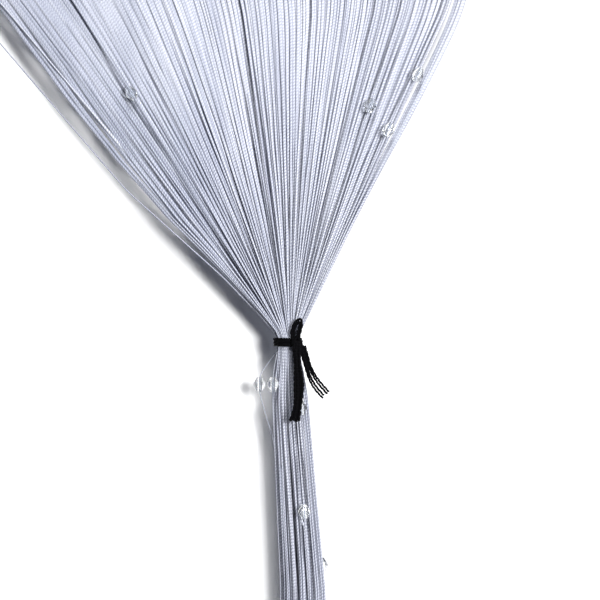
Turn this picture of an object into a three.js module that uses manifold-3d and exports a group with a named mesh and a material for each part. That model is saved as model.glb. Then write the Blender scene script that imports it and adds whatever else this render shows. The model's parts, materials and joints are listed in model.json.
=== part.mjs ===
// A string curtain, hanging, with its strings gathered to one side and held by a black tie.
//
// A woven heading tape runs along the top. Below it 224 flat knitted strings fan in to the tie,
// pass through it as one tight bundle and hang on as a loose tail. Every string has the same
// length, so those that come in from the far left end higher than the ones that hang straight.
// Clear faceted beads are threaded on some of the strings. The tie is four black cords laid side
// by side: they go once round the bundle, are knotted at the front right with one short loop
// standing up, and their eight cut ends hang down in two groups of four.
//
// Millimetres, +Z up. +X is to the right and the front faces -Y. The origin is the middle of the
// heading's top edge, where the curtain is held.

import * as THREE from "three";
import { mergeVertices } from "three/addons/utils/BufferGeometryUtils.js";
import Module from "manifold-3d";

// Driving dimensions
const SEAT_GAP = 0.3;
const HEADING = { width: 1000, height: 75, thickness: 1.6 };
const ROOT_STRIP = { height: 6, thickness: 1.6, sink: 1.5 };
const STRINGS = { count: 224, length: 1925, width: 1.5, thickness: 0.6 };
const BEAD = { radius: 4.1, halfLength: 4.8, beltHalf: 0.5, endRadius: 1.9, holeRadius: 1.15, sides: 6 };

// The tie's middle, to the right of the curtain's middle and below the strings' roots.
const TIE = { across: 185, below: 795 };

// Where the strings cross the fan's lower quarter: from its left edge to its right one, about the
// tie. The first string is slack, and strays outside the others until it joins them at the neck.
const FAN = { height: 219, left: -187, right: 110.5, halfDepth: 2.6, cling: 0.76 };
const STRAY_STRING = [
  { height: 219, across: -209 },
  { height: 101, across: -107.5 },
  { height: 43.5, across: -43.5 },
];

// How many strings cling together in each clump of the fan, over and over.
const CLUMPS = [5, 7, 6, 4, 8, 6, 5, 9];

// The bundle's oval section at heights above (+) and below (-) the tie's middle, how far its
// middle has drifted to the right, and the section of one string there. The last row is at the
// cut ends: each string's own length gives their height.
const SECTIONS = [
  { at: "tie", height: 5.2, halfWidth: 7.3, halfDepth: 9.1, drift: 0, width: 0.7, thickness: 0.8 },
  { at: "tie", height: -5.2, halfWidth: 7.3, halfDepth: 9.1, drift: 0, width: 0.7, thickness: 0.8 },
  { at: "tail", height: -38, halfWidth: 12.3, halfDepth: 10.5, drift: 1, width: 1, thickness: 0.75 },
  { at: "tail", height: -165, halfWidth: 15.6, halfDepth: 12, drift: 9.6, width: 1.3, thickness: 0.8 },
  { at: "tail", height: -1e3, halfWidth: 27, halfDepth: 19, drift: 12, width: 1.5, thickness: 0.8 },
];
const BUNDLE = { columns: 17, tailClump: 3, tailCling: 0.84 };

// Beaded strings. Each row says where one bead of a string is, about the tie's middle, how far
// apart the beads are along the string, and which face of the curtain they lie on. A depth is
// given where the bead hangs beside the bundle.
const BEADED_STRINGS = [
  { across: -104, height: 165, pitch: 430, face: "front" },
  { across: 54.7, height: 156.7, pitch: 445, face: "front" },
  { across: 86.3, height: 177.3, pitch: 520, face: "front" },
  { across: 76, height: 140.7, pitch: 360, face: "front" },
  { across: -9.9, height: -27.7, pitch: 435, face: "front", depth: -10.4, far: 80 },
  { across: -18.9, height: -28.3, pitch: 450, face: "back", depth: 2 },
  { across: 10.4, height: -43.3, pitch: 375, face: "front" },
  { across: 10.1, height: -111.3, pitch: 440, face: "front" },
  { across: -52, height: 320, pitch: 520, face: "front" },
  { across: -4, height: 330, pitch: 410, face: "back" },
  { across: 24, height: -150, pitch: 425, face: "back" },
];

// A beaded string runs straight through its bead as far as near, and is back among the others at
// far. In the fan it lies a little outside the rest.
const BEAD_BOW = { near: 6.5, far: 40, width: 1.1, outside: 1.35 };

// The cords of the tie.
const TIE_CORD = { diameter: 1.3, sides: 8, step: 3.9 };
const BAND = { inner: 8.75, wall: 1.35, ridges: 3, ridgeDepth: 0.35, halfHeight: 2.7, sides: 28 };
const BAND_OVAL = { across: 7.95 / 8.75, deep: 9.85 / 8.75 };
const KNOT = { across: 5.6, depth: -12.2, up: 0, halfWidth: 3.5, halfDepth: 3, halfHeight: 3.2 };
const LOOP = { diameter: 2.7, sides: 8, steps: 18 };

// Routes about the tie's middle: across, depth and up. The loop starts and ends in the knot.
const LOOP_ROUTE = [
  [3.9, -12.3, 1.6],
  [2.5, -12.6, 6.6],
  [3.6, -12.9, 11.6],
  [7.0, -13.1, 14.6],
  [8.2, -13.2, 11.8],
  [7.5, -13.1, 7.2],
  [6.4, -12.8, 1.8],
];
const STRAIGHT_END_ROUTE = [
  [5.8, -15.4, -4.0],
  [6.4, -17.0, -14.7],
  [7.4, -18.6, -27.5],
  [7.0, -19.2, -37.5],
  [6.1, -19.1, -44.5],
  [4.7, -18.6, -51.5],
];
const SPLAYED_END_ROUTE = [
  [9.6, -12.6, -2.5],
  [11.4, -13.2, -9.4],
  [13.3, -13.5, -16.0],
  [15.9, -13.4, -22.4],
  [19.6, -13.0, -28.4],
  [25.0, -12.5, -34.6],
];
// Each cord of a group: how far it lies to the side of the group's route at its root and at its
// cut end, how far to the front, and how much longer its cut end is.
const STRAIGHT_ENDS = [
  { root: -2.5, cut: -3.2, forward: 0, longer: 0.6 },
  { root: -0.84, cut: -1.15, forward: -0.5, longer: 0 },
  { root: 0.84, cut: 0.8, forward: 0.3, longer: 0.4 },
  { root: 2.5, cut: 2.6, forward: -0.3, longer: -0.6 },
];
const SPLAYED_ENDS = [
  { root: -2.45, cut: -3.0, forward: 0.3, longer: 0.5 },
  { root: -0.83, cut: -1.2, forward: -0.3, longer: -0.5 },
  { root: 0.83, cut: 1.1, forward: 0.3, longer: 0.3 },
  { root: 2.45, cut: 2.9, forward: -0.3, longer: 0 },
];

const COLOURS = {
  heading: { color: 0xc3cad8, roughness: 0.85, metalness: 0 },
  strings: { color: 0xc2cbdb, roughness: 0.6, metalness: 0.05 },
  beads: { color: 0xe6eef0, roughness: 0.08, metalness: 0 },
  tie: { color: 0x08090b, roughness: 0.9, metalness: 0 },
};

const GOLDEN = 0.6180339887498949;

const wasm = await Module();
wasm.setup();

// Small helpers

// A number from 0 to 1 for each string, spread evenly whichever strings are picked.
const spread = (i) => (i * GOLDEN) % 1;

const mix = (a, b, share) => a + (b - a) * share;

// A manifold-3d solid from a closed three.js geometry.
function solid(geometry) {
  const bare = geometry.index ? geometry.toNonIndexed() : geometry.clone();
  bare.deleteAttribute("normal");
  bare.deleteAttribute("uv");
  const merged = mergeVertices(bare, 1e-4);
  return new wasm.Manifold(
    new wasm.Mesh({
      numProp: 3,
      vertProperties: new Float32Array(merged.attributes.position.array),
      triVerts: new Uint32Array(merged.index.array),
    }),
  );
}

function geometryOf(manifold) {
  const mesh = manifold.getMesh();
  const geometry = new THREE.BufferGeometry();
  geometry.setAttribute("position", new THREE.BufferAttribute(mesh.vertProperties, 3));
  geometry.setIndex(new THREE.BufferAttribute(mesh.triVerts, 1));
  return geometry;
}

const part = new THREE.Group();

function place(name, geometry, look) {
  const mesh = new THREE.Mesh(geometry, new THREE.MeshStandardMaterial(COLOURS[look]));
  mesh.name = name;
  part.add(mesh);
  return mesh;
}

// Heights

const rootTop = -(HEADING.height + SEAT_GAP);
const rootBottom = rootTop - ROOT_STRIP.height;
const tieHeight = rootBottom - TIE.below;

// The bundle's round section is cut into columns that take the strings from left to right. A
// string keeps its column, and its rank in the column gives its depth, so no two strings cross.
// Across and depth are given from -1 to 1 here.

const columnCentre = (c) => ((c + 0.5) / BUNDLE.columns) * 2 - 1;
const columnReach = (c) => Math.sqrt(1 - columnCentre(c) ** 2);

function columnStarts() {
  const reaches = Array.from({ length: BUNDLE.columns }, (_, c) => columnReach(c));
  const total = reaches.reduce((sum, reach) => sum + reach, 0);
  const starts = [0];
  let filled = 0;
  for (const reach of reaches) {
    filled += reach;
    starts.push(Math.round((STRINGS.count * filled) / total));
  }
  return starts;
}

const starts = columnStarts();
const columnOf = (i) => starts.findIndex((start) => start > i) - 1;

// In the tail, the columns draw together by threes, which leaves the dark gaps between them.
function tailAcross(c) {
  const clump = Math.floor(c / BUNDLE.tailClump);
  const middle = columnCentre(clump * BUNDLE.tailClump + (BUNDLE.tailClump - 1) / 2);
  return mix(middle, columnCentre(c), BUNDLE.tailCling);
}

// The fan

const headAcross = (i) => ((i + 0.5) / STRINGS.count - 0.5) * HEADING.width - TIE.across;

function fanAcross(i) {
  let first = 0;
  let k = 0;
  while (first + CLUMPS[k % CLUMPS.length] <= i) {
    first += CLUMPS[k % CLUMPS.length];
    k += 1;
  }
  const middle = first + (CLUMPS[k % CLUMPS.length] - 1) / 2;
  const at = mix(middle, i, FAN.cling);
  return mix(FAN.left, FAN.right, at / (STRINGS.count - 1));
}

// The stations of one string from its root to its cut end, about the tie's middle. Its place in
// the bundle's depth, from -1 at the front to 1 at the back, is given.

function stationsOf(i, bundleDepth, fanDepth) {
  const column = columnOf(i);
  const { width, thickness } = STRINGS;
  const root = { height: TIE.below + ROOT_STRIP.sink, across: headAcross(i), depth: 0 };
  const inFan = i === 0 ? STRAY_STRING : [{ height: FAN.height, across: fanAcross(i) }];
  const stations = [{ ...root, width, thickness }];
  for (const s of inFan) {
    stations.push({ ...s, depth: fanDepth * FAN.halfDepth, width, thickness });
  }
  for (const s of SECTIONS) {
    const u = s.at === "tail" ? tailAcross(column) : columnCentre(column);
    stations.push({
      height: s.height,
      across: s.drift + u * s.halfWidth,
      depth: bundleDepth * s.halfDepth,
      width: s.width,
      thickness: s.thickness,
      bound: s.at === "tie",
    });
  }
  const above = stations.slice(0, -1);
  let hung = 0;
  for (let k = 1; k < above.length; k += 1) {
    const a = above[k - 1];
    const b = above[k];
    hung += Math.hypot(b.across - a.across, b.depth - a.depth, b.height - a.height);
  }
  const last = above[above.length - 1];
  stations[stations.length - 1].height = last.height - (STRINGS.length - hung);
  return stations;
}

function at(stations, height) {
  let k = 1;
  while (k < stations.length - 1 && stations[k].height > height) k += 1;
  const a = stations[k - 1];
  const b = stations[k];
  const share = (a.height - height) / (a.height - b.height);
  return {
    height,
    across: mix(a.across, b.across, share),
    depth: mix(a.depth, b.depth, share),
    width: mix(a.width, b.width, share),
    thickness: mix(a.thickness, b.thickness, share),
  };
}

// Which string carries each row of beads: the one whose way passes nearest to the named bead.

const plain = Array.from({ length: STRINGS.count }, (_, i) => stationsOf(i, 0, 0));

function nearestString(row, taken) {
  let best = -1;
  let least = Infinity;
  for (let i = 1; i < STRINGS.count; i += 1) {
    const sharesColumn = (t) => t.face === row.face && columnOf(t.string) === columnOf(i);
    if (taken.some((t) => t.string === i || sharesColumn(t))) continue;
    const away = Math.abs(at(plain[i], row.height).across - row.across);
    if (away < least) {
      least = away;
      best = i;
    }
  }
  return best;
}

const beaded = [];
for (const row of BEADED_STRINGS) {
  beaded.push({ ...row, string: nearestString(row, beaded) });
}

// Every string's place in the bundle. The strings that carry beads lie outermost in their column.

function bundlePlaces() {
  const places = [];
  for (let c = 0; c < BUNDLE.columns; c += 1) {
    const members = [];
    for (let i = starts[c]; i < starts[c + 1]; i += 1) {
      const row = beaded.find((b) => b.string === i);
      const order = row ? { front: -1, back: 2 }[row.face] : spread(i);
      members.push({ i, order });
    }
    members.sort((a, b) => a.order - b.order);
    members.forEach(({ i, order }, rank) => {
      const depth = columnReach(c) * (((rank + 0.5) / members.length) * 2 - 1);
      const outside = order < 0 || order > 1;
      const fan = outside ? Math.sign(order) * BEAD_BOW.outside : order * 2 - 1;
      places[i] = { depth, fan };
    });
  }
  return places;
}

const places = bundlePlaces();
const routes = places.map((p, i) => stationsOf(i, p.depth, p.fan));

// Beads

const REACH = BEAD.radius + STRINGS.width / 2 + SEAT_GAP;

// How deep a bead has to lie, on its face of the curtain, to clear every string beside it.
function clearDepth(string, bead, face) {
  const way = face === "front" ? -1 : 1;
  let depth = BEAD.radius;
  routes.forEach((stations, j) => {
    if (j === string || stations[stations.length - 1].height > bead.height) return;
    for (const along of [-BEAD.halfLength / 2, 0, BEAD.halfLength / 2]) {
      const p = at(stations, bead.height + along);
      const side = Math.abs(p.across - bead.across - bead.lean * along);
      if (side < REACH) depth = Math.max(depth, way * p.depth + Math.sqrt(REACH ** 2 - side ** 2));
    }
  });
  return way * depth;
}

// The heights of all the beads on a string, one pitch apart along it.
function beadHeights(stations, marked, pitch) {
  const steps = [];
  let walked = 0;
  let markedAt = 0;
  for (let k = 1; k < stations.length; k += 1) {
    const a = stations[k - 1];
    const b = stations[k];
    const long = Math.hypot(b.across - a.across, b.height - a.height);
    if (a.height >= marked && marked > b.height) {
      markedAt = walked + (long * (a.height - marked)) / (a.height - b.height);
    }
    steps.push({ from: walked, long, top: a.height, drop: a.height - b.height });
    walked += long;
  }
  const heights = [];
  const clear = BEAD_BOW.far + BEAD_BOW.near;
  for (let s = markedAt % pitch; s < walked - clear; s += pitch) {
    const step = steps.find((p) => s < p.from + p.long);
    if (s > clear) heights.push(step.top - (step.drop * (s - step.from)) / step.long);
  }
  return heights;
}

const beads = [];
for (const row of beaded) {
  const stations = routes[row.string];
  const bows = [];
  const heights = beadHeights(stations, row.height, row.pitch);
  for (const height of heights) {
    const on = at(stations, height);
    const marked = Math.abs(height - row.height) < 1;
    const beside = marked && row.depth !== undefined;
    const reach = (beside && row.far) || BEAD_BOW.far;
    const across = beside ? row.across : on.across;
    const upper = at(stations, height + BEAD_BOW.near);
    const lower = at(stations, height - BEAD_BOW.near);
    const lean = beside ? 0 : (upper.across - lower.across) / (2 * BEAD_BOW.near);
    const bead = { across, height, lean };
    bead.depth = beside ? row.depth : clearDepth(row.string, bead, row.face);
    beads.push(bead);
    for (const way of [1, -1]) {
      bows.push({
        height: height + way * BEAD_BOW.near,
        across: across + way * lean * BEAD_BOW.near,
        depth: bead.depth,
        width: BEAD_BOW.width,
        thickness: STRINGS.thickness,
      });
      const far = height + way * reach;
      const bound = stations.some((s) => s.bound && (s.height - far) * (s.height - height) < 0);
      if (!bound) bows.push(at(stations, far));
    }
  }
  const bowed = (s) => heights.some((h) => Math.abs(s.height - h) < BEAD_BOW.far);
  const kept = stations.filter((s) => s.bound || !bowed(s));
  routes[row.string] = [...kept, ...bows].sort((a, b) => b.height - a.height);
}

// Solids

// A three-sided strand through its stations, its flat side to the front, closed at both ends.
function strand(stations) {
  const points = [];
  stations.forEach((s, k) => {
    const before = stations[Math.max(0, k - 1)];
    const after = stations[Math.min(stations.length - 1, k + 1)];
    const run = new THREE.Vector2(after.across - before.across, after.height - before.height);
    run.normalize();
    const x = TIE.across + s.across;
    const z = tieHeight + s.height;
    const corner = (side, depth) => points.push(x - run.y * side, s.depth + depth, z + run.x * side);
    corner(-s.width / 2, -s.thickness / 2);
    corner(s.width / 2, -s.thickness / 2);
    corner(0, s.thickness / 2);
  });
  const faces = [0, 1, 2];
  for (let k = 0; k < stations.length - 1; k += 1) {
    for (let side = 0; side < 3; side += 1) {
      const a = 3 * k + side;
      const b = 3 * k + ((side + 1) % 3);
      faces.push(a, a + 3, b, b, a + 3, b + 3);
    }
  }
  const end = points.length / 3 - 1;
  faces.push(end, end - 1, end - 2);
  const geometry = new THREE.BufferGeometry();
  geometry.setAttribute("position", new THREE.Float32BufferAttribute(points, 3));
  geometry.setIndex(faces);
  return geometry;
}

function box(width, thickness, height, top) {
  return new THREE.BoxGeometry(width, thickness, height).translate(0, 0, top - height / 2);
}

function stringsAndStrip() {
  const strip = solid(box(HEADING.width, ROOT_STRIP.thickness, ROOT_STRIP.height, rootTop));
  return geometryOf(wasm.Manifold.union([strip, ...routes.map((r) => solid(strand(r)))]));
}

// A bead: two cones meeting at a narrow belt, cut into flat sides, with a hole for its string.
function beadGeometry() {
  const profile = [
    [BEAD.holeRadius, -BEAD.halfLength],
    [BEAD.endRadius, -BEAD.halfLength],
    [BEAD.radius, -BEAD.beltHalf],
    [BEAD.radius, BEAD.beltHalf],
    [BEAD.endRadius, BEAD.halfLength],
    [BEAD.holeRadius, BEAD.halfLength],
    [BEAD.holeRadius, -BEAD.halfLength],
  ].map(([r, h]) => new THREE.Vector2(r, h));
  return new THREE.LatheGeometry(profile, BEAD.sides, Math.PI / BEAD.sides).rotateX(Math.PI / 2);
}

function cordAlong(points, diameter, sides, steps) {
  const outline = new THREE.Shape();
  for (let k = 0; k < sides; k += 1) {
    const turn = (2 * Math.PI * k) / sides;
    outline[k ? "lineTo" : "moveTo"]((diameter / 2) * Math.cos(turn), (diameter / 2) * Math.sin(turn));
  }
  const curve = new THREE.CatmullRomCurve3(points, false, "centripetal");
  const sweep = { steps, bevelEnabled: false, extrudePath: curve };
  return new THREE.ExtrudeGeometry(outline, sweep);
}

const aboutTie = ([across, depth, up]) => new THREE.Vector3(TIE.across + across, depth, tieHeight + up);

// The band: three ridges of cord one above the other, turned round the bundle and made oval.
function bandGeometry() {
  const outer = BAND.inner + BAND.wall;
  const ridge = (2 * BAND.halfHeight) / BAND.ridges;
  const profile = [new THREE.Vector2(BAND.inner, -BAND.halfHeight)];
  for (let k = 0; k < BAND.ridges; k += 1) {
    const bottom = -BAND.halfHeight + k * ridge;
    profile.push(new THREE.Vector2(outer - BAND.ridgeDepth, bottom));
    profile.push(new THREE.Vector2(outer, bottom + ridge / 2));
  }
  profile.push(new THREE.Vector2(outer - BAND.ridgeDepth, BAND.halfHeight));
  profile.push(new THREE.Vector2(BAND.inner, BAND.halfHeight));
  profile.push(profile[0].clone());
  return new THREE.LatheGeometry(profile, BAND.sides)
    .rotateX(Math.PI / 2)
    .scale(BAND_OVAL.across, BAND_OVAL.deep, 1)
    .translate(TIE.across, 0, tieHeight);
}

function knotGeometry() {
  const middle = aboutTie([KNOT.across, KNOT.depth, KNOT.up]);
  return new THREE.IcosahedronGeometry(1, 1)
    .scale(KNOT.halfWidth, KNOT.halfDepth, KNOT.halfHeight)
    .translate(middle.x, middle.y, middle.z);
}

function tieGeometry() {
  const loop = cordAlong(LOOP_ROUTE.map(aboutTie), LOOP.diameter, LOOP.sides, LOOP.steps);
  return geometryOf(wasm.Manifold.union([bandGeometry(), knotGeometry(), loop].map(solid)));
}

// One cut end of the tie, beside its group's route.
function endRoute(route, cord) {
  const points = route.map(aboutTie);
  return points.map((p, k) => {
    const before = points[Math.max(0, k - 1)];
    const after = points[Math.min(points.length - 1, k + 1)];
    const run = after.clone().sub(before).setY(0).normalize();
    const side = mix(cord.root, cord.cut, k / (points.length - 1));
    const beyond = k === points.length - 1 ? cord.longer : 0;
    return new THREE.Vector3(
      p.x - run.z * side + run.x * beyond,
      p.y + cord.forward,
      p.z + run.x * side + run.z * beyond,
    );
  });
}

// The whole curtain

place("heading", box(HEADING.width, HEADING.thickness, HEADING.height, 0), "heading");
place("strings", stringsAndStrip(), "strings");
place("tie", tieGeometry(), "tie");

const endGroups = [
  { name: "tie_end_straight", route: STRAIGHT_END_ROUTE, cords: STRAIGHT_ENDS },
  { name: "tie_end_splayed", route: SPLAYED_END_ROUTE, cords: SPLAYED_ENDS },
];
for (const group of endGroups) {
  group.cords.forEach((cord, k) => {
    const points = endRoute(group.route, cord);
    const long = new THREE.CatmullRomCurve3(points).getLength();
    const steps = Math.round(long / TIE_CORD.step);
    place(`${group.name}_${k + 1}`, cordAlong(points, TIE_CORD.diameter, TIE_CORD.sides, steps), "tie");
  });
}

beads.forEach((bead, k) => {
  const mesh = place(`bead_${String(k + 1).padStart(2, "0")}`, beadGeometry(), "beads");
  mesh.position.set(TIE.across + bead.across, bead.depth, tieHeight + bead.height);
  mesh.rotation.y = Math.atan(bead.lean);
});

export default part;
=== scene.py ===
# A hanging string curtain: silver-white knitted strings drawn to one side, clear faceted beads
# and a black cord tie. Metres, +Z up, the front faces -Y, the origin is the heading's top edge.

import json
import math

import bmesh
import bpy
import numpy as np
from mathutils import Euler, Matrix, Vector

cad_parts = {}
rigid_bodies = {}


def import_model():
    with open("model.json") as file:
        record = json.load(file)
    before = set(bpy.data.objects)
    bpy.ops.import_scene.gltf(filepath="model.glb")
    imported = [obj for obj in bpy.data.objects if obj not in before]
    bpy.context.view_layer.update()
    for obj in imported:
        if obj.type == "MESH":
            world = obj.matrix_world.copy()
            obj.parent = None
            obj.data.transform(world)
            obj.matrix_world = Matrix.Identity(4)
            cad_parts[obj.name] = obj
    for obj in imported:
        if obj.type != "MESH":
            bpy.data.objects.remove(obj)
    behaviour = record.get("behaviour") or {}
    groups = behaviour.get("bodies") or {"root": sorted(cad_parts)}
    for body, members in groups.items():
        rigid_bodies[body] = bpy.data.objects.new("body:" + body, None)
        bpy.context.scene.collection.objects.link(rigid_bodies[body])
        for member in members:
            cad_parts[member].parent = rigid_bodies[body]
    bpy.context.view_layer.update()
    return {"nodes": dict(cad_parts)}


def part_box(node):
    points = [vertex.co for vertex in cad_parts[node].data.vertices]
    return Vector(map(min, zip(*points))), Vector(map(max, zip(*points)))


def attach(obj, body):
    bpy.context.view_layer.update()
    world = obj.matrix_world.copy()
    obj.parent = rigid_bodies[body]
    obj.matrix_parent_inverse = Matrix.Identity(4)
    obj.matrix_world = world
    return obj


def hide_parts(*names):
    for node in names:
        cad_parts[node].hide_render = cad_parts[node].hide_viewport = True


for left_over in list(bpy.data.objects):
    bpy.data.objects.remove(left_over)
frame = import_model()
nodes = frame["nodes"]

# Where things are, from the frame

HEADING_LOW, HEADING_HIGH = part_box("heading")
STRINGS_LOW, STRINGS_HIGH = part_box("strings")
STRIP_HEIGHT = 0.006
STRIP_BOTTOM = STRINGS_HIGH.z - STRIP_HEIGHT
ROOT_TOP = STRIP_BOTTOM + 0.0015
TIE_ACROSS = 0.185
TIE_BELOW_STRIP = 0.795
TIE_MIDDLE = Vector((TIE_ACROSS, 0.0, STRIP_BOTTOM - TIE_BELOW_STRIP))

# The view: level with the tie, a little above it, from straight ahead.
VIEW_MIDDLE = Vector((0.193, 0.0, -0.8483))
VIEW_WIDTH = 0.4
LENS = 120
SENSOR = 36

BACKDROP_BEHIND = 0.0265
FLOOR_BELOW = 0.02
FLOOR_SIZE = 3.2
BACKDROP_SIZE = 4
AMBIENT = (0.022, 0.025, 0.033, 1)
SEEN_THROUGH_BEADS = (0.72, 0.75, 0.8, 1)
# Each light: its place, what it aims at, its size, its power and its spread in degrees.
LIGHTS = {
    "key": ((1.25, -2.5, -0.55), tuple(VIEW_MIDDLE), 0.6, 108, 180),
    "top": ((0.3, -1.2, 0.35), (0.17, 0.0, -0.66), 0.5, 0.9, 30),
    "back": ((-0.6, 1.9, -1.75), (0.1, 0.0, -0.75), 1.2, 4, 60),
}

# The tie's cords. Routes are about the tie's middle, as in the solids: across, depth and up.
STRAIGHT_END_ROUTE = [
    (0.0058, -0.0154, -0.0040),
    (0.0064, -0.0170, -0.0147),
    (0.0074, -0.0186, -0.0275),
    (0.0070, -0.0192, -0.0375),
    (0.0061, -0.0191, -0.0445),
    (0.0047, -0.0186, -0.0515),
]
SPLAYED_END_ROUTE = [
    (0.0096, -0.0126, -0.0025),
    (0.0114, -0.0132, -0.0094),
    (0.0133, -0.0135, -0.0160),
    (0.0159, -0.0134, -0.0224),
    (0.0196, -0.0130, -0.0284),
    (0.0250, -0.0125, -0.0346),
]
# Each cord of a group: to the side at its root and at its cut end, to the front, and longer by.
STRAIGHT_ENDS = [
    (-0.0022, -0.0028, 0.0002, 0.0006),
    (-0.00075, -0.0010, -0.0008, 0.0),
    (0.00080, 0.0007, 0.0004, 0.0004),
    (0.0022, 0.0022, -0.0004, -0.0006),
]
SPLAYED_ENDS = [
    (-0.0018, -0.0030, 0.0003, 0.0005),
    (-0.0006, -0.0012, -0.0003, -0.0005),
    (0.0006, 0.0011, 0.0003, 0.0003),
    (0.0018, 0.0029, -0.0003, 0.0),
]
# How far apart a group's cords lie along its route, against their places at the ends.
STRAIGHT_SPREAD = [0.85, 0.66, 1.06, 0.82, 0.80, 1.05]
SPLAYED_SPREAD = [0.9, 0.9, 0.8, 0.95, 1.05, 1.0]
LOOP_ROUTE = [
    (0.0041, -0.0123, 0.0016),
    (0.0033, -0.0126, 0.0064),
    (0.0046, -0.0129, 0.0114),
    (0.0077, -0.0131, 0.0147),
    (0.0084, -0.0132, 0.0117),
    (0.0074, -0.0131, 0.0072),
    (0.0061, -0.0128, 0.0018),
]
# The cords' diameters, and the length of one stitch of a cord.
STRAIGHT_CORD = 0.00185
SPLAYED_CORD = 0.0014
BAND_CORD = 0.00185
KNOT_CORD = 0.0016
KNOT_LEG_CORD = 0.0019
LOOP_CORD = 0.0017
TIE_STITCH = 0.0019


# Shader maths: a wrapped socket, so that masks and mixes read as sums


class Value:
    def __init__(self, shader, socket):
        self.shader = shader
        self.socket = socket

    def _math(self, operation, *inputs):
        settings = {"operation": operation}
        return self.shader.node("ShaderNodeMath", settings, dict(enumerate(inputs)))

    def __add__(self, other):
        return self._math("ADD", self, other)

    def __radd__(self, other):
        return self._math("ADD", other, self)

    def __sub__(self, other):
        return self._math("SUBTRACT", self, other)

    def __rsub__(self, other):
        return self._math("SUBTRACT", other, self)

    def __mul__(self, other):
        return self._math("MULTIPLY", self, other)

    def __rmul__(self, other):
        return self._math("MULTIPLY", other, self)

    def __abs__(self):
        return self._math("ABSOLUTE", self)

    def larger(self, other):
        return self._math("MAXIMUM", self, other)

    def fraction(self):
        return self._math("FRACT", self)

    def sine(self):
        return self._math("SINE", self)

    def between(self, low, high):
        """0 below low, 1 above high, and smooth between them."""
        settings = {"interpolation_type": "SMOOTHSTEP", "clamp": True}
        inputs = {"Value": self, "From Min": low, "From Max": high}
        return self.shader.node("ShaderNodeMapRange", settings, inputs)


class Shader:
    """One material's node tree, and the short ways of adding to it."""

    def __init__(self, name, **uniform):
        self.material = bpy.data.materials.new(name)
        self.material.use_nodes = True
        self.tree = self.material.node_tree
        self.surface = next(n for n in self.tree.nodes if n.type == "BSDF_PRINCIPLED")
        for socket, value in uniform.items():
            self.surface.inputs[socket.replace("_", " ")].default_value = value

    def node(self, kind, settings=None, inputs=None, output=0):
        made = self.tree.nodes.new(kind)
        for name, value in (settings or {}).items():
            setattr(made, name, value)
        for name, value in (inputs or {}).items():
            self.link(value, made.inputs[name])
        return Value(self, made.outputs[output])

    def link(self, value, socket):
        if isinstance(value, Value):
            self.tree.links.new(value.socket, socket)
        else:
            socket.default_value = value

    def attribute(self, name):
        return self.node("ShaderNodeAttribute", {"attribute_name": name}, output="Fac")

    def parts(self, vector):
        """A vector's three numbers."""
        apart = self.node("ShaderNodeSeparateXYZ", None, {0: vector}).socket.node
        return [Value(self, output) for output in apart.outputs]

    def uv(self, name):
        return self.parts(self.node("ShaderNodeUVMap", {"uv_map": name}))[:2]

    def place(self):
        return self.node("ShaderNodeTexCoord", output="Object")

    def point(self, x, y, z):
        return self.node("ShaderNodeCombineXYZ", None, {0: x, 1: y, 2: z})

    def noise(self, where, scale, detail=2.0, roughness=0.5):
        inputs = {"Vector": where, "Scale": scale, "Detail": detail, "Roughness": roughness}
        return self.node("ShaderNodeTexNoise", None, inputs)

    def mix(self, share, first, second):
        """Colours, mixed."""
        made = self.tree.nodes.new("ShaderNodeMix")
        made.data_type = "RGBA"
        self.link(share, made.inputs[0])
        self.link(first, made.inputs[6])
        self.link(second, made.inputs[7])
        return Value(self, made.outputs[2])

    def bump(self, height, distance, strength=1.0):
        inputs = {"Height": height, "Distance": distance, "Strength": strength}
        made = self.node("ShaderNodeBump", None, inputs)
        self.tree.links.new(made.socket, self.surface.inputs["Normal"])

    def set(self, socket, value):
        self.link(value, self.surface.inputs[socket])


# Finishes

STRING_STITCH = 0.0021
STITCH_SLANT = 0.32
STITCH_UNEVEN = 0.5
# The stitches soften from the lower of these heights to the upper one.
SOFTENS_FROM, SOFTENS_TO = -0.90, -0.62
# Painted shade in the valleys between stitches and along a string's edges, painted light on the
# stitch tops.
STITCH_VALLEY_SHADE = (0.27, 0.285, 0.37, 1)
STITCH_TOP_LIGHT = (0.80, 0.815, 0.865, 1)
STRING_EDGE_SHADE = (0.26, 0.28, 0.35, 1)
STRING_WORN = (0.70, 0.715, 0.77, 1)
STRING_GREY = (0.64, 0.66, 0.722, 1)
WHITE = (1.0, 1.0, 1.0, 1)
WARP_PITCH = 0.0011
WEFT_PITCH = 0.0014


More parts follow.
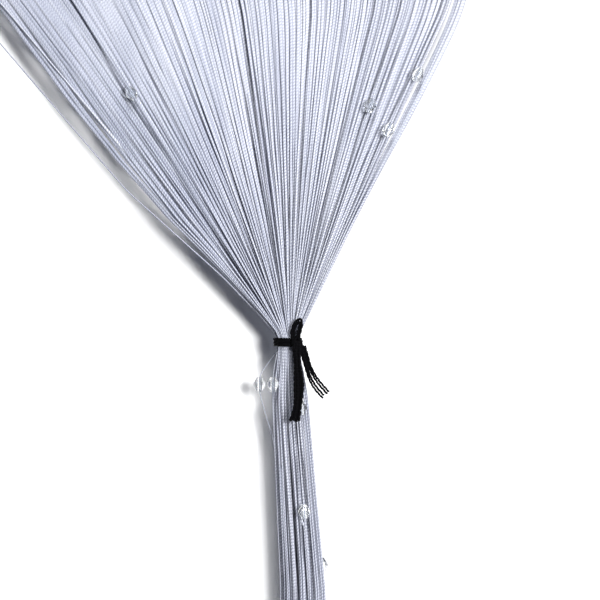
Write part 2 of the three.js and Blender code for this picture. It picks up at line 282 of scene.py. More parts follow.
def string_finish():
    """A flat knitted string: one bright slanting stitch after the other, duller between them; the
    bright stitch tops are painted light, the dull valleys and the string's edges painted shade.
    """
    s = Shader("string_yarn", Roughness=0.6, Specular_IOR_Level=0.4)
    across, along = s.uv("stitch")
    # The string's tone: its own random paleness, with painted shade on the fan's left and painted
    # light to its right and in the tail's middle.
    tone_and_shade = s.attribute("string_tone")
    side = (across - 0.5) * 2.0
    drift = s.noise(s.point(along * 14.0, 0.0, 0.0), 1.0, 3.0)
    uneven = s.noise(s.point(across * 1.5, along * 420.0, 0.0), 1.0, 2.0)
    stitch = along * (1 / STRING_STITCH) + side * STITCH_SLANT + uneven * STITCH_UNEVEN
    beat = (stitch.fraction() - 0.5) * 2.0
    dot = 1.0 - (beat * beat * 1.9 + side * side * 0.9).between(0.0, 1.0)
    edge = abs(side).between(0.6, 1.0)
    fanned = s.parts(s.place())[2].between(SOFTENS_FROM, SOFTENS_TO)
    stitched = (drift.between(0.34, 0.62) * 0.5 + 0.5) * (1.0 - fanned * 0.5)
    fine = s.noise(s.point(across * 3.0, along * 900.0, 0.0), 1.0, 2.0)
    # Painted light on the stitch tops and painted shade in the valleys between them, less where the
    # stitches are soft.
    light = dot * stitched + (1.0 - stitched) * 0.42
    body = s.mix(light, STITCH_VALLEY_SHADE, STITCH_TOP_LIGHT)
    # Painted shade along the string's edges.
    shaded = s.mix(edge * 0.2, body, STRING_EDGE_SHADE)
    worn = s.mix(fine.between(0.35, 0.75) * 0.25, shaded, STRING_WORN)
    patch_size = {"Vector": s.place(), "Scale": (34.0, 20.0, 5.0)}
    patch = s.noise(s.node("ShaderNodeMapping", None, patch_size), 1.0, 2.0).between(0.36, 0.64)
    # Tone with painted shade and light in it, and random patches of paleness.
    paleness_and_shade = s.mix(tone_and_shade * 0.75 + patch * 0.25, STRING_GREY, WHITE)
    tinted = s.node("ShaderNodeMix", {"data_type": "RGBA", "blend_type": "MULTIPLY"},
                    {0: 1.0, 6: worn, 7: paleness_and_shade}, output=2)
    s.set("Base Color", tinted)
    s.bump(dot * stitched + fine * 0.15 - edge * 0.5, 0.00035, 0.6)
    return s.material


def heading_finish():
    s = Shader("heading_weave", Roughness=0.8)
    where = s.place()
    x, _, z = s.parts(where)
    warp = (x * (2 * math.pi / WARP_PITCH)).sine()
    weft = (z * (2 * math.pi / WEFT_PITCH)).sine()
    weave = warp * weft * 0.5 + 0.5
    mottled = s.noise(where, 160.0, 3.0)
    body = s.mix(weave, (0.50, 0.54, 0.64, 1), (0.82, 0.85, 0.92, 1))
    s.set("Base Color", s.mix(mottled * 0.3, body, (0.62, 0.66, 0.76, 1)))
    s.bump(weave + mottled * 0.4, 0.0004, 0.7)
    return s.material


def bead_finish():
    s = Shader("clear_bead", Roughness=0.08, IOR=1.46, Transmission_Weight=1.0)
    grime = s.noise(s.place(), 900.0, 2.0)
    s.set("Base Color", s.mix(grime, (0.94, 0.97, 0.98, 1), WHITE))
    return s.material


def tie_finish():
    s = Shader("tie_cord", Roughness=0.9, Specular_IOR_Level=0.05)
    _, along = s.uv("stitch")
    stitch = along * (1 / TIE_STITCH)
    beat = (stitch.fraction() - 0.5) * 2.0
    dot = 1.0 - (beat * beat).between(0.0, 1.0)
    fuzz = s.noise(s.place(), 2600.0, 3.0)
    # Painted light: each stitch's top a little less black than between stitches, mottled by fuzz.
    body = s.mix(dot * fuzz, (0.0010, 0.0010, 0.0013, 1), (0.0036, 0.0036, 0.0048, 1))
    s.set("Base Color", body)
    s.bump(dot + fuzz * 0.6, 0.0003, 0.5)
    return s.material


def seam_finish():
    s = Shader("seam_thread", Roughness=0.55)
    twist = s.noise(s.place(), 2400.0, 2.0).between(0.3, 0.7)
    s.set("Base Color", s.mix(twist, (0.46, 0.50, 0.60, 1), (0.80, 0.83, 0.90, 1)))
    s.bump(twist, 0.0001, 0.5)
    return s.material


STRING_YARN = string_finish()
HEADING_WEAVE = heading_finish()
SEAM_THREAD = seam_finish()
CLEAR_BEAD = bead_finish()
TIE_CORD_BLACK = tie_finish()


# Small helpers


def mesh_piece(name, points, faces, finish, uvs=None, tones_and_shade=None):
    """A piece from arrays of points and faces, smooth, at the world's origin."""
    mesh = bpy.data.meshes.new(name)
    mesh.from_pydata(points, [], faces)
    mesh.materials.append(finish)
    mesh.polygons.foreach_set("use_smooth", np.ones(len(mesh.polygons), bool))
    if uvs is not None:
        corners = np.zeros(len(mesh.loops), np.int32)
        mesh.loops.foreach_get("vertex_index", corners)
        layer = mesh.uv_layers.new(name="stitch")
        layer.data.foreach_set("uv", np.asarray(uvs, np.float32)[corners].ravel())
    if tones_and_shade is not None:
        # Each point's tone: the string's own paleness, with painted shade and light in it.
        attribute = mesh.attributes.new("string_tone", "FLOAT", "POINT")
        attribute.data.foreach_set("value", np.asarray(tones_and_shade, np.float32))
    mesh.update()
    piece = bpy.data.objects.new(name, mesh)
    bpy.context.scene.collection.objects.link(piece)
    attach(piece, "root")
    return piece


def through(points, per_leg=8):
    """A smooth line through the points: a centripetal Catmull-Rom curve."""
    p = np.array(points, float)
    p = np.vstack([2 * p[0] - p[1], p, 2 * p[-1] - p[-2]])
    line = []
    for k in range(1, len(p) - 2):
        four = p[k - 1 : k + 3]
        legs = np.linalg.norm(np.diff(four, axis=0), axis=1)
        knots = np.concatenate([[0], np.cumsum(legs**0.5)])
        for t in np.linspace(knots[1], knots[2], per_leg, endpoint=False):
            a = [
                four[i] + (four[i + 1] - four[i]) * (t - knots[i]) / (knots[i + 1] - knots[i])
                for i in range(3)
            ]
            b = [
                a[i] + (a[i + 1] - a[i]) * (t - knots[i]) / (knots[i + 2] - knots[i])
                for i in range(2)
            ]
            line.append(b[0] + (b[1] - b[0]) * (t - knots[1]) / (knots[2] - knots[1]))
    line.append(p[-2])
    return np.array(line)


def spaced(line, step):
    """The same line with points step apart, and its length."""
    along = np.concatenate([[0], np.cumsum(np.linalg.norm(np.diff(line, axis=0), axis=1))])
    count = max(2, round(along[-1] / step) + 1)
    at = np.linspace(0, along[-1], count)
    return np.stack([np.interp(at, along, line[:, k]) for k in range(3)], axis=1), along[-1]


STITCH_ROUND = 10
STITCH_STEP = 0.00042
STITCH_SWELL = 0.09
STITCH_SWAY = 0.09
CORD_WIDER, CORD_FLATTER = 1.08, 0.92


def sideways(ahead):
    """A direction across a line at each point, which turns no more than the line does."""
    side = np.cross(ahead[0], [0.0, -1.0, 0.0])
    if np.linalg.norm(side) < 0.1:
        side = np.cross(ahead[0], [0.0, 0.0, 1.0])
    found = []
    for run in ahead:
        side = side - run * (run @ side)
        side = side / np.linalg.norm(side)
        found.append(side)
    return np.array(found)


def stitched_tube(line, diameter, closed=False, phase=0.0):
    """A lumpy chain-stitched cord along a line: points, faces and stitch coordinates."""
    line, long = spaced(np.array(line, float), STITCH_STEP)
    if closed:
        line = line[:-1]
    n = len(line)
    ahead = np.roll(line, -1, axis=0) - np.roll(line, 1, axis=0)
    if not closed:
        ahead[0] = line[1] - line[0]
        ahead[-1] = line[-1] - line[-2]
    ahead /= np.linalg.norm(ahead, axis=1)[:, None]
    side = sideways(ahead)
    up = np.cross(side, ahead)
    walk = np.arange(n) * long / max(n - 1, 1)
    beat = 2 * math.pi * walk / TIE_STITCH + phase
    swell = 1 + STITCH_SWELL * np.cos(beat)
    sway = STITCH_SWAY * diameter * np.sin(beat / 2)
    turns = 2 * math.pi * np.arange(STITCH_ROUND) / STITCH_ROUND
    middle = line + side * sway[:, None]
    radius = diameter / 2 * swell
    ring = (
        side[:, None, :] * np.cos(turns)[None, :, None] * CORD_WIDER
        + up[:, None, :] * np.sin(turns)[None, :, None] * CORD_FLATTER
    )
    points = (middle[:, None, :] + ring * radius[:, None, None]).reshape(-1, 3)
    uvs = np.stack(
        [
            np.tile(np.abs(1 - 2 * np.arange(STITCH_ROUND) / STITCH_ROUND), n),
            np.repeat(walk, STITCH_ROUND),
        ],
        axis=1,
    )
    faces = []
    legs = n if closed else n - 1
    for k in range(legs):
        for j in range(STITCH_ROUND):
            a = k * STITCH_ROUND + j
            b = k * STITCH_ROUND + (j + 1) % STITCH_ROUND
            c = ((k + 1) % n) * STITCH_ROUND + (j + 1) % STITCH_ROUND
            d = ((k + 1) % n) * STITCH_ROUND + j
            faces.append((a, d, c, b))
    if not closed:
        faces.append(tuple(range(STITCH_ROUND)))
        faces.append(tuple(range((n - 1) * STITCH_ROUND, n * STITCH_ROUND))[::-1])
    return points, faces, uvs


def joined(tubes):
    """Several tubes as one set of points, faces and stitch coordinates."""
    points, faces, uvs = [], [], []
    start = 0
    for p, f, u in tubes:
        points.append(p)
        uvs.append(u)
        faces.extend(tuple(i + start for i in face) for face in f)
        start += len(p)
    return np.concatenate(points), faces, np.concatenate(uvs)


def outwards(piece):
    """Turns every face of a closed piece outwards."""
    mesh = bmesh.new()
    mesh.from_mesh(piece.data)
    bmesh.ops.recalc_face_normals(mesh, faces=mesh.faces)
    mesh.to_mesh(piece.data)
    mesh.free()


def tie_piece(name, tubes, node):
    """A piece of the black tie, made of one or more cords."""
    points, faces, uvs = joined(tubes)
    piece = mesh_piece(name, points, faces, TIE_CORD_BLACK, uvs)
    outwards(piece)
    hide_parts(node)
    return piece


# Camera


def camera():
    data = bpy.data.cameras.new("camera")
    data.lens = LENS
    data.sensor_width = SENSOR
    eye = bpy.data.objects.new("camera", data)
    bpy.context.scene.collection.objects.link(eye)
    away = VIEW_WIDTH * LENS / SENSOR
    eye.location = VIEW_MIDDLE + Vector((0, -away, 0))
    eye.rotation_euler = Euler((math.pi / 2, 0, 0))
    bpy.context.scene.camera = eye


camera()


# The tie's cut ends


def end_route(route, spread, root, cut, forward, longer):
    """One cord beside its group's route, the way that the solids lie."""
    points = [TIE_MIDDLE + Vector(p) for p in route]
    beside = []
    for k, p in enumerate(points):
        run = points[min(len(points) - 1, k + 1)] - points[max(0, k - 1)]
        run.y = 0
        run.normalize()
        side = (root + (cut - root) * k / (len(points) - 1)) * spread[k]
        beyond = longer if k == len(points) - 1 else 0
        x = p.x - run.z * side + run.x * beyond
        z = p.z + run.x * side + run.z * beyond
        beside.append((x, p.y + forward, z))
    return beside


def tie_ends():
    groups = (
        ("tie_end_straight", STRAIGHT_END_ROUTE, STRAIGHT_SPREAD, STRAIGHT_ENDS, STRAIGHT_CORD),
        ("tie_end_splayed", SPLAYED_END_ROUTE, SPLAYED_SPREAD, SPLAYED_ENDS, SPLAYED_CORD),
    )
    for name, route, spread, cords, wide in groups:
        for k, cord in enumerate(cords):
            line = through(end_route(route, spread, *cord), 10)
            node = f"{name}_{k + 1}"
            piece = tie_piece(f"{node}_cord", [stitched_tube(line, wide, phase=1.7 * k)], node)


tie_ends()


# The tie's band, knot and loop

# The bundle's half width and half depth at the tie, and how far off it the cords' middles lie.
BAND_OFF = 0.00068
BAND_ACROSS = 0.00795 + BAND_OFF
BAND_DEEP = 0.00985 + BAND_OFF
BAND_ROWS = 4
BAND_PITCH = 0.00132
BAND_WAVE = 0.00015
LOOP_APART = 0.00075


def band_row(height, phase):
    turns = np.linspace(0, 2 * math.pi, 73)
    lift = height + BAND_WAVE * np.sin(2 * turns + phase)
    swell = 1 + 0.03 * np.sin(3 * turns + 2 * phase)
    return np.stack(
        [
            TIE_MIDDLE.x + BAND_ACROSS * np.cos(turns) * swell,
            BAND_DEEP * np.sin(turns) * swell,
            TIE_MIDDLE.z + lift,
        ],
        axis=1,
    )


def tie_band():
    tubes = []
    for k in range(BAND_ROWS):
        height = (k - (BAND_ROWS - 1) / 2) * BAND_PITCH
        tubes.append(stitched_tube(band_row(height, 1.9 * k), BAND_CORD, True, 0.9 * k))
    tie_piece("tie_band", tubes, "tie")


KNOT_MIDDLE = TIE_MIDDLE + Vector((0.0056, -0.0122, 0.0))
KNOT_TURNS = [
    # tilt about the depth, tilt about the height, across, deep, up
    (0.55, 0.0, 0.0030, 0.0024, 0.0027),
    (-0.5, 0.35, 0.0031, 0.0025, 0.0025),
    (1.35, -0.3, 0.0028, 0.0025, 0.0028),
    (0.05, 0.25, 0.0030, 0.0026, 0.0026),
]
# Where the cords come out of the knot, towards the two groups of ends.
KNOT_LEGS = [
    [(0.0050, -0.0136, 0.0010), (0.0043, -0.0150, -0.0020), (0.0042, -0.0156, -0.0052)],
    [(0.0062, -0.0138, 0.0010), (0.0058, -0.0152, -0.0020), (0.0058, -0.0158, -0.0056)],
    [(0.0066, -0.0136, 0.0005), (0.0073, -0.0148, -0.0020), (0.0073, -0.0154, -0.0052)],
    [(0.0070, -0.0130, 0.0015), (0.0089, -0.0130, -0.0008), (0.0100, -0.0128, -0.0042)],
    [(0.0068, -0.0128, 0.0000), (0.0082, -0.0130, -0.0026), (0.0094, -0.0131, -0.0066)],
]


def tie_knot():
    tubes = []
    turns = np.linspace(0, 2 * math.pi, 49)
    for k, (tilt, turn, across, deep, up) in enumerate(KNOT_TURNS):
        ring = np.stack([across * np.cos(turns), deep * np.sin(turns), np.zeros(49)], axis=1)
        turned = ring @ np.array(Euler((0.0, tilt, turn)).to_matrix()).T
        turned[:, 2] *= up / across
        tubes.append(stitched_tube(turned + np.array(KNOT_MIDDLE), KNOT_CORD, True, 0.8 * k))
    for k, leg in enumerate(KNOT_LEGS):
        line = through([TIE_MIDDLE + Vector(p) for p in leg], 8)
        tubes.append(stitched_tube(line, KNOT_LEG_CORD, False, 1.1 * k))
    tie_piece("tie_knot", tubes, "tie")


def tie_loop():
    line = through([TIE_MIDDLE + Vector(p) for p in LOOP_ROUTE], 12)
    run = np.gradient(line, axis=0)
    run /= np.linalg.norm(run, axis=1)[:, None]
    side = np.cross(run, [0.0, -1.0, 0.0])
    tubes = []
    for way, lift, phase in ((1, 0.0, 0.4), (-1, -0.0003, 2.1)):
        leg = line + side * way * LOOP_APART + np.array([0, lift, 0])
        tubes.append(stitched_tube(leg, LOOP_CORD, False, phase))
    tie_piece("tie_loop", tubes, "tie")


tie_band()
tie_knot()
tie_loop()


# The strings

FINE_TOP = -0.60
FINE_BOTTOM = -1.12
FINE_STEP = 0.0042
COARSE_STEP = 0.016
COMMON_BOTTOM = -1.25
LOWEST_STATION = -1.93
STRING_WIDEN = 1.55
STRING_WIDEN_HIGH = 0.22
STRING_VARIES = (0.86, 1.14)
STRING_THICK = 0.00045
PIECES_OF_STRINGS = 4
SMALL_CLUMPS = [3, 2, 4, 3, 3, 2, 3, 4, 2, 3, 4, 3, 1, 3]
SMALL_CLING = 0.5
FAN_FLATTEN = 0.62
FAN_FLATTEN_HIGH = 0.2
CALM_FROM = -0.80
CALM_TO = -0.68
TAIL_CLUMPS = [-0.0105, -0.0048, 0.0008, 0.0060, 0.0110]
TAIL_CLING = 0.3
TAIL_VALLEY = 0.0035
LOOSE_BEAD_HEIGHT = -0.9046
LOOSE_LEFT_OF = 0.178
BEADED_SLIM = 0.72
LOOSE_SLIM = 0.5
# The outermost strings on the left stand off the fan in a flat band of their own.
BAND_HEIGHT = -0.692
BAND_REACH = 0.072
BAND_OUT = 0.0075
BAND_STRINGS = 9
# How evenly the strings lie side by side, in the middle of the fan and higher up.
EVEN_LOW = 0.45
EVEN_HIGH = 0.45
EVEN_REACH = 7
EVEN_ORDER = -0.72
EVEN_TOP = -0.35
# The fan is a little round, so its strings face outwards at its sides.
FAN_ROUND = 0.6
FAN_TWIST = 0.6
FAN_TWIST_LESS = 0.35
# The fan's right side bows out a little, and its strings are wider.
RIGHT_OUT = 0.0040
RIGHT_WIDER = 0.3
# The fan's left side stands forward a little above the tie.
FORWARD_HEIGHT = -0.79
FORWARD_REACH = 0.085
FORWARD_BY = 0.006
FORWARD_STRINGS = 26
# Where painted shade makes the fan's left side greyest, by how much, and how far to the right it
# reaches.
SHADE_HEIGHT = -0.755
SHADE_REACH = 0.042
SHADE_BY = 0.5
SHADE_SIDE = 0.55
# How pale the strings are: each by itself, which is its own tone, and from left to right and in the
# middle of the tail, which is painted light and shade.
OWN_TONE = 0.5
TONE_LEFT = 0.08
PAINTED_LIGHT_TO_RIGHT = 0.42
PAINTED_TAIL_LIGHT = 0.46
TAIL_HALF = 0.013
TAIL_LIGHT_LEFT = 0.0015
# The tail lies back, and its left side lies back further.
TAIL_BACK = 0.004
TAIL_LEFT_FROM = 0.0085
TAIL_LEFT_BACK = 0.006
# Each string's own sway: how long a wave is, and how high.
SWAY_ACROSS = (0.33, 0.0005)
SWAY_DEEP = (0.41, 0.0003)
SWAY_TWIST = 0.28
OWN_PLACE = 0.0007
# The stray string on the left: how wide it is, so far down, and where it stands off the most.
STRAY = 0
STRAY_TONE = 0.8
STRAY_REACH = 0.02
STRAY_AT = [0.70, 0.79, 0.862, 0.885]
STRAY_WIDE = [0.0012, 0.0031, 0.0028, 0.0005]
STRAY_OUT = 0.003
STRAY_OUT_AT = -0.815
# Lower down, more of the left side's strings bow outwards: by so much, so far down.
EDGE_STRINGS = 17
EDGE_SOFT = 3.2
EDGE_AT = [0.66, 0.695, 0.715, 0.735, 0.755, 0.795, 0.815, 0.835, 0.85, 0.866]
EDGE_OUT = [0.0, 0.0015, 0.004, 0.006, 0.008, 0.008, 0.0045, 0.0022, 0.0012, 0.0]


def string_routes():
    """Every string's stations, top to bottom, left to right: across, depth, height and width."""
    merged = bmesh.new()
    merged.from_mesh(nodes["strings"].data)
    bmesh.ops.remove_doubles(merged, verts=merged.verts, dist=1e-6)
    in_strip = [v for v in merged.verts if v.co.z > STRIP_BOTTOM - 1e-4]
    bmesh.ops.delete(merged, geom=in_strip, context="VERTS")
    found = []
    seen = set()
    for first in merged.verts:
        if first in seen:
            continue
        island = []
        waiting = [first]
        seen.add(first)
        while waiting:
            corner = waiting.pop()
            island.append(tuple(corner.co))
            for edge in corner.link_edges:
                other = edge.other_vert(corner)
                if other not in seen:
                    seen.add(other)
                    waiting.append(other)
        found.append(stations_of(np.array(island)))
    merged.free()
    found.sort(key=top_across)
    routes = []
    for i, stations in enumerate(found):
        across = ((i + 0.5) / len(found) - 0.5) * (STRINGS_HIGH.x - STRINGS_LOW.x)
        root = (across, 0.0, ROOT_TOP, stations[0][3])
        routes.append(np.vstack([root, stations]))
    return routes


def stations_of(corners):
    """The middle and width of each station of a three-cornered strand."""
    corners = corners[np.argsort(-corners[:, 2])]
    stations = []
    for k in range(0, len(corners), 3):
        three = corners[k : k + 3]
        back = three[np.argmax(three[:, 1])]
        flat = np.array([c for c in three if c is not back and not np.array_equal(c, back)])
        middle = (flat.mean(axis=0) + back) / 2
        width = np.linalg.norm(flat[0] - flat[1])
        stations.append((*middle, width))
    return np.array(stations)


def top_across(stations):
    """Where a string crosses the height of the fan's first station, for its place in the row."""
    height = STRIP_BOTTOM - 0.3
    first, second = stations[0], stations[min(1, len(stations) - 1)]
    if first[2] > height:
        share = (first[2] - height) / (first[2] - second[2])
        return first[0] + (second[0] - first[0]) * share
    return first[0]


def smoothed(values, heights, reach):
    """Rounds the corners of each row of values that lie on the same heights."""
    out = np.empty_like(values)
    for k, h in enumerate(heights):
        weight = np.maximum(0.0, 1 - np.abs(heights - h) / reach[k])
        out[:, k] = values @ (weight / weight.sum())
    return out


def waves(rng, count, heights, length):
    """A smooth random sway for each string, about -1 to 1."""
    out = np.zeros((count, len(heights)))
    for share, stretch in ((0.6, 1.0), (0.3, 0.47), (0.18, 0.21)):
        turn = rng.uniform(0, 2 * math.pi, (count, 1))
        pace = 2 * math.pi / (length * stretch * rng.uniform(0.8, 1.25, (count, 1)))
        out += share * np.sin(pace * heights[None, :] + turn)
    return out


def string_heights():
    """The stations' heights: close together where the fan meets the tie, wider apart elsewhere."""
    return np.concatenate(
        [
            np.arange(ROOT_TOP, FINE_TOP, -COARSE_STEP),
            np.arange(FINE_TOP, FINE_BOTTOM, -FINE_STEP),
            np.arange(FINE_BOTTOM, LOWEST_STATION, -COARSE_STEP),
            [LOWEST_STATION],
        ]
    )


def along_routes(routes, heights):
    """Every string's place and width at the heights, drawn out below to its own cut end."""
    low = heights < COMMON_BOTTOM
    ends = np.array([route[-1][2] for route in routes])
    z = np.repeat(heights[None, :], len(routes), axis=0)
    z[:, low] = COMMON_BOTTOM + (heights[low] - COMMON_BOTTOM) * (
        (ends - COMMON_BOTTOM) / (heights[-1] - COMMON_BOTTOM)
    )[:, None]
    x, y, width = (np.empty_like(z) for _ in range(3))
    for i, route in enumerate(routes):
        for values, column in ((x, 0), (y, 1), (width, 3)):
            values[i] = np.interp(-z[i], -route[:, 2], route[:, column])
    return x, y, z, width


def bell(heights, middle, reach):
    """1 at the middle height, and less above and below it."""
    return np.exp(-(((heights - middle) / reach) ** 2))


def outermost(plain, strings_wide, soft):
    """1 for the plain strings on the left, and less to the right of so many strings."""
    return plain / (1 + np.exp((np.arange(len(plain)) - strings_wide) / soft))


def evened(x, index, beaded):
    """Each string's place, averaged with the strings beside it in the row."""
    count = len(x)
    apart = np.abs(index[:, None] - index[None, :])
    close = np.maximum(0, 1 - apart / EVEN_REACH)
    # Near the sides the row is mirrored through its last string, so that the outline stays.
    close[apart > np.minimum(index, count - 1 - index)[:, None]] = 0
    close[:, beaded] = 0
    close[np.arange(count), np.arange(count)] = 1
    close /= close.sum(axis=1)[:, None]
    return close @ x


def draw_into_clumps(x, plain, cling):
    """Draws the fan's plain strings together in small clumps."""
    first = k = 0
    while first < len(x):
        members = np.arange(first, min(len(x), first + SMALL_CLUMPS[k % len(SMALL_CLUMPS)]))
        loose = members[plain[members]]
        if len(loose) > 1:
            middle = x[loose].mean(axis=0)
            x[loose] += (middle - x[loose]) * cling
        first += len(members)
        k += 1


def hang_tail(x, y, plain, below, tail_middle):
    """The tail hangs in a few clumps with dark valleys between them, and its left side lies back."""
    clumps = np.array(TAIL_CLUMPS)[:, None, None] + tail_middle[None, None, :]
    nearest = np.abs(x[None] - clumps).argmin(axis=0)
    offset = x - (np.array(TAIL_CLUMPS)[nearest] + tail_middle[None, :])
    valley = (np.abs(offset[plain]) / 0.003).clip(0, 1) ** 2
    y[plain] += valley * TAIL_VALLEY * below
    x[plain] -= offset[plain] * TAIL_CLING * below
    y[plain] += (TAIL_BACK * below)[None, :]
    left = np.clip((tail_middle[None, :] - TAIL_LEFT_FROM - x) / 0.003, 0, 1)
    y[plain] += (left * TAIL_LEFT_BACK * below)[plain]


def string_tones_and_shade(own, index, x, heights, below, tail_middle):
    """How pale each string is: its own random tone, with painted shade that makes it greyer on the
    left, most of all where the fan bends in to the tie, and painted light in the middle of the tail.
    """
    fan_side = index / (len(x) - 1)
    shade_band = bell(heights, SHADE_HEIGHT, SHADE_REACH)
    # Painted shade: the fan's left side greyer around one height.
    painted_shade = SHADE_BY * np.clip(1 - fan_side / SHADE_SIDE, 0, 1)[:, None] * shade_band[None, :]
    from_middle = np.abs(x - tail_middle[None, :] + TAIL_LIGHT_LEFT) / TAIL_HALF
    # Painted light in the middle of the tail, painted shade at its sides.
    tail_painted_light = PAINTED_TAIL_LIGHT * np.clip(1 - from_middle**2, 0, 1)
    # Painted light and shade: the fan darker on the left, paler to the right.
    fan_light_and_shade = TONE_LEFT + PAINTED_LIGHT_TO_RIGHT * fan_side[:, None] - painted_shade
    tones_and_shade = own[:, None] + fan_light_and_shade * (1 - below) + tail_painted_light * below
    tones_and_shade[STRAY] = STRAY_TONE
    return tones_and_shade.clip(0, 1)


def strings():
    routes = string_routes()
    count = len(routes)
    rng = np.random.default_rng(7)
    heights = string_heights()
    x, y, z, width = along_routes(routes, heights)
    from_tie = np.abs(heights - TIE_MIDDLE.z)
    reach = np.clip(from_tie * 0.35, 0.004, 0.02)
    # Strings with beads have more stations. They keep to their beads.
    beaded = np.array([len(route) > 8 for route in routes])
    plain = ~beaded
    for kind, rounding in ((plain, reach), (beaded, np.minimum(reach, 0.006))):
        x[kind] = smoothed(x[kind], heights, rounding)
        y[kind] = smoothed(y[kind], heights, rounding)
    # The fan: how far above the tie, and how high.
    index = np.empty(count, int)
    index[np.argsort(x[:, np.abs(heights - EVEN_ORDER).argmin()])] = np.arange(count)
    above = np.clip((heights - TIE_MIDDLE.z - 0.02) / 0.12, 0, 1)
    high = np.clip((heights - CALM_FROM) / (CALM_TO - CALM_FROM), 0, 1)
    even = (EVEN_LOW * above + EVEN_HIGH * high) * np.clip((EVEN_TOP - heights) / 0.15, 0, 1)
    x[plain] += ((evened(x, index, beaded) - x) * even)[plain]
    draw_into_clumps(x, plain, SMALL_CLING * above * (1 - 0.65 * high))
    y[plain] *= 1 - FAN_FLATTEN * above - FAN_FLATTEN_HIGH * high
    # The fan's two sides.
    bulge = bell(heights, BAND_HEIGHT, BAND_REACH)
    x -= BAND_OUT * outermost(plain, BAND_STRINGS, 0.7)[:, None] * bulge[None, :]
    edge = np.interp(-heights, EDGE_AT, EDGE_OUT)
    x -= outermost(plain, EDGE_STRINGS, EDGE_SOFT)[:, None] * edge[None, :]
    x[STRAY] -= STRAY_OUT * bell(heights, STRAY_OUT_AT, STRAY_REACH)
    rightmost = np.clip((index - count + FORWARD_STRINGS) / FORWARD_STRINGS, 0, 1) ** 2 * plain
    x += RIGHT_OUT * rightmost[:, None] * bulge[None, :]
    leftmost = np.clip(1 - np.arange(count) / FORWARD_STRINGS, 0, 1) * plain
    stand = bell(heights, FORWARD_HEIGHT, FORWARD_REACH)
    y -= FORWARD_BY * leftmost[:, None] * stand[None, :]
    below = np.clip((TIE_MIDDLE.z - 0.012 - heights) / 0.05, 0, 1)
    tail_middle = x.mean(axis=0)
    hang_tail(x, y, plain, below, tail_middle)
    # Each string's own sway and twist.
    free = np.clip(from_tie / 0.1, 0, 1) * plain[:, None]
    x += waves(rng, count, heights, SWAY_ACROSS[0]) * SWAY_ACROSS[1] * free
    x += rng.uniform(-1, 1, (count, 1)) * OWN_PLACE * above[None, :] * plain[:, None]
    y += waves(rng, count, heights, SWAY_DEEP[0]) * SWAY_DEEP[1] * free
    twist = waves(rng, count, heights, SWAY_TWIST) * (FAN_TWIST - FAN_TWIST_LESS * high)[None, :]
    halfway = (x[-1] + x[1]) / 2
    half = np.maximum((x[-1] - x[1]) / 2, 0.004)
    rounded = above * (1 - 0.25 * high)
    twist += FAN_ROUND * np.clip((x - halfway) / half, -1, 1) * rounded[None, :]
    # The stray string on the left lies flat to the front.
    twist[STRAY] = 0
    own = rng.uniform(0, OWN_TONE, count)
    # Each string's tone: its own random paleness, plus painted shade and light.
    tones_and_shade = string_tones_and_shade(own, index, x, heights, below, tail_middle)
    starts = rng.uniform(0, 0.5, count)
    # The strings' widths and thickness.
    thick = np.full_like(z, STRING_THICK)
    wide = width * STRING_WIDEN * (1 + STRING_WIDEN_HIGH * high)[None, :]
    wide[beaded] *= BEADED_SLIM
    at_bead = np.abs(heights - LOOSE_BEAD_HEIGHT).argmin()
    loose = beaded & (x[:, at_bead] < LOOSE_LEFT_OF)
    wide[loose] *= LOOSE_SLIM
    wide *= rng.uniform(*STRING_VARIES, (count, 1)) * (1 + RIGHT_WIDER * rightmost)[:, None]
    wide[STRAY] = np.interp(-heights, STRAY_AT, STRAY_WIDE)
    # The strings' sections, turned about their middles.
    centre = np.stack([x, y, z], axis=2)
    ahead = np.gradient(centre, axis=1)
    ahead /= np.linalg.norm(ahead, axis=2)[:, :, None]
    side = np.cross(ahead, [0.0, 1.0, 0.0])
    side /= np.linalg.norm(side, axis=2)[:, :, None]
    out = np.cross(side, ahead)
    c, s = np.cos(twist)[:, :, None], np.sin(twist)[:, :, None]
    side, out = side * c + out * s, out * c - side * s
    steps = np.linalg.norm(np.diff(centre, axis=1), axis=2)
    walk = np.concatenate([np.zeros((count, 1)), np.cumsum(steps, axis=1)], axis=1)
    walk += starts[:, None]
    per_piece = -(-count // PIECES_OF_STRINGS)
    for k in range(PIECES_OF_STRINGS):
        rows = range(k * per_piece, min(count, (k + 1) * per_piece))
        strings_piece(k, rows, centre, side, out, wide, thick, walk, tones_and_shade)


# A string's section: across in half widths, out in half thicknesses, and the stitch coordinate.
STRING_SECTION = [
    (-1.0, 0.0, 0.0),
    (-0.72, -1.0, 0.14),
    (0.72, -1.0, 0.86),
    (1.0, 0.0, 1.0),
    (0.72, 1.0, 0.86),
    (-0.72, 1.0, 0.14),
]


def strings_piece(k, rows, centre, side, out, wide, thick, walk, tones_and_shade):
    sides = len(STRING_SECTION)
    stations = centre.shape[1]
    points, faces, uvs, tone_and_shade = [], [], [], []
    across = np.tile([u for _, _, u in STRING_SECTION], stations)
    for n, i in enumerate(rows):
        corners = []
        for a, b, _ in STRING_SECTION:
            to_side = side[i] * (a * wide[i] / 2)[:, None]
            corners.append(centre[i] + to_side + out[i] * (b * thick[i] / 2)[:, None])
        points.append(np.stack(corners, axis=1).reshape(-1, 3))
        uvs.append(np.stack([across, np.repeat(walk[i], sides)], axis=1))
        tone_and_shade.append(np.repeat(tones_and_shade[i], sides))
        base = n * stations * sides
        for j in range(stations - 1):
            for m in range(sides):
                a = base + j * sides + m
                b = base + j * sides + (m + 1) % sides
                faces.append((a, a + sides, b + sides, b))
        faces.append(tuple(range(base, base + sides)))
        last = base + (stations - 1) * sides
        faces.append(tuple(range(last, last + sides))[::-1])
    piece = mesh_piece(f"strings_{k + 1}", np.concatenate(points), faces, STRING_YARN,
                       np.concatenate(uvs), np.concatenate(tone_and_shade))
    outwards(piece)
    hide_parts("strings")


